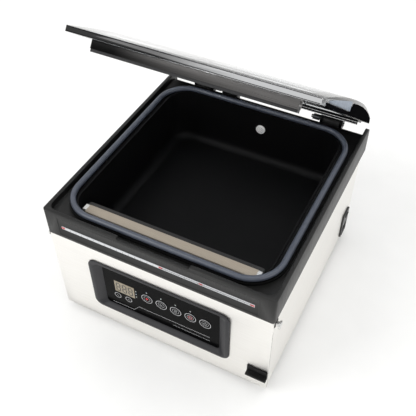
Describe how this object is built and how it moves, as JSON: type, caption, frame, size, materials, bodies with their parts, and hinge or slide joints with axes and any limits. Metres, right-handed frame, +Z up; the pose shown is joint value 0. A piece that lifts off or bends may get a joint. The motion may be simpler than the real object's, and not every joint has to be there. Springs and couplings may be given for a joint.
{
  "type": "chamber vacuum sealer",
  "caption": "Tabletop chamber vacuum sealer: boxy steel body with a deep gasketed chamber, rising seal bar, clear hinged lid, and a swing-out front panel with a recessed control cluster.",
  "frame": {"origin": "centre of the overall footprint, on the plane the feet stand on", "axes": "+X to the machine's right seen from the front, +Y to the back (hinge side), +Z up"},
  "size_m": [0.3816, 0.4348, 0.4796],
  "materials": {
    "frame_metal": "satin black moulding with a fine grain",
    "tub_steel": "black non-stick coating on steel",
    "panel_paint": "bright brushed stainless sheet",
    "bright_metal": "polished",
    "silicone": "dark grey silicone",
    "black_rubber": "matt",
    "black_plastic": "fine texture",
    "bezel_plastic": "fine texture",
    "fascia_plastic": "gloss",
    "button_plastic": "gloss black with printed rings",
    "display_glass": "smoky display filter",
    "led_plastic": "gloss",
    "post_paint": "black powder coat",
    "white_print": "printed film",
    "clear_acrylic": "polished clear",
    "bar_aluminium": "dark satin, with bare cut ends",
    "tape_cloth": "woven glass cloth, non-stick",
    "machine_paint": "satin",
    "pump_iron": "painted",
    "valve_brass": "machined",
    "board_green": "satin"
  },
  "bodies": {
    "base": {"upper_frame": "frame_metal", "ruler_strip": "white_print", "chamber_tub": "tub_steel", "chamber_gasket": "silicone", "vacuum_port": "bright_metal", "lift_cylinders": "bright_metal", "hinge_springs": "bright_metal", "hinge_post_left": "post_paint", "hinge_post_right": "post_paint", "lid_sensor": "black_plastic", "side_panel_left": "panel_paint", "side_panel_right": "panel_paint", "rear_panel": "panel_paint", "rear_screws": "bright_metal", "base_pan": "panel_paint", "feet": "black_rubber", "door_pivots": "bright_metal", "power_inlet": "black_plastic", "fuse_drawer": "black_plastic", "pump_motor": "machine_paint", "vacuum_pump": "pump_iron", "pump_mounts": "black_rubber", "transformer": "machine_paint", "air_valve": "valve_brass", "vacuum_hoses": "black_rubber", "power_board": "board_green"},
    "seal_bar": {"seal_bar_base": "black_plastic", "heating_band": "bright_metal", "seal_tape": "tape_cloth", "seal_bar_clips": "bright_metal", "lift_rods": "bright_metal"},
    "lid": {"lid_panel": "clear_acrylic", "lid_trim_left": "black_plastic", "lid_trim_right": "black_plastic", "counter_bar": "bar_aluminium", "counter_strip": "silicone", "counter_bar_screws": "bright_metal", "hinge_rail_screws": "bright_metal", "hinge_rail": "bar_aluminium", "hinge_pins": "bright_metal"},
    "service_panel": {"front_panel": "panel_paint", "pull_tab": "black_plastic", "control_bezel": "bezel_plastic", "control_fascia": "fascia_plastic", "display_window": "display_glass", "indicator_leds": "led_plastic", "control_board": "board_green"},
    "rocker_key": {"rocker_switch": "black_plastic"},
    "set_button_cap": {"set_button": "button_plastic"},
    "pause_button_cap": {"pause_button": "button_plastic"},
    "cycle_button_cap": {"cycle_button": "button_plastic"},
    "seal_button_cap": {"seal_button": "button_plastic"},
    "power_button_cap": {"power_button": "button_plastic"},
    "down_button_cap": {"down_button": "button_plastic"},
    "up_button_cap": {"up_button": "button_plastic"}
  },
  "joints": [
    {"name": "lid_hinge", "type": "hinge", "parent": "base", "child": "lid", "pos_m": [0, 0.1854, 0.226], "axis": [-1, 0, 0], "range_deg": [-38.5, 35]},
    {"name": "seal_bar_lift", "type": "slide", "parent": "base", "child": "seal_bar", "axis": [0, 0, 1], "range_m": [0, 0.0033]},
    {"name": "service_panel_hinge", "type": "hinge", "parent": "base", "child": "service_panel", "pos_m": [0, -0.1986, 0.176], "axis": [-1, 0, 0], "range_deg": [0, 60]},
    {"name": "power_rocker", "type": "hinge", "parent": "base", "child": "rocker_key", "pos_m": [0.1788, 0.1414, 0.0625], "axis": [0, -1, 0], "range_deg": [0, 14]},
    {"name": "set_button_press", "type": "slide", "parent": "service_panel", "child": "set_button_cap", "axis": [0, 1, 0], "range_m": [0, 0.0008], "stiffness_N_per_m": 1500},
    {"name": "pause_button_press", "type": "slide", "parent": "service_panel", "child": "pause_button_cap", "axis": [0, 1, 0], "range_m": [0, 0.0008], "stiffness_N_per_m": 1500},
    {"name": "cycle_button_press", "type": "slide", "parent": "service_panel", "child": "cycle_button_cap", "axis": [0, 1, 0], "range_m": [0, 0.0008], "stiffness_N_per_m": 1500},
    {"name": "seal_button_press", "type": "slide", "parent": "service_panel", "child": "seal_button_cap", "axis": [0, 1, 0], "range_m": [0, 0.0008], "stiffness_N_per_m": 1500},
    {"name": "power_button_press", "type": "slide", "parent": "service_panel", "child": "power_button_cap", "axis": [0, 1, 0], "range_m": [0, 0.0008], "stiffness_N_per_m": 1500},
    {"name": "down_button_press", "type": "slide", "parent": "service_panel", "child": "down_button_cap", "axis": [0, 1, 0], "range_m": [0, 0.0008], "stiffness_N_per_m": 1500},
    {"name": "up_button_press", "type": "slide", "parent": "service_panel", "child": "up_button_cap", "axis": [0, 1, 0], "range_m": [0, 0.0008], "stiffness_N_per_m": 1500}
  ]
}
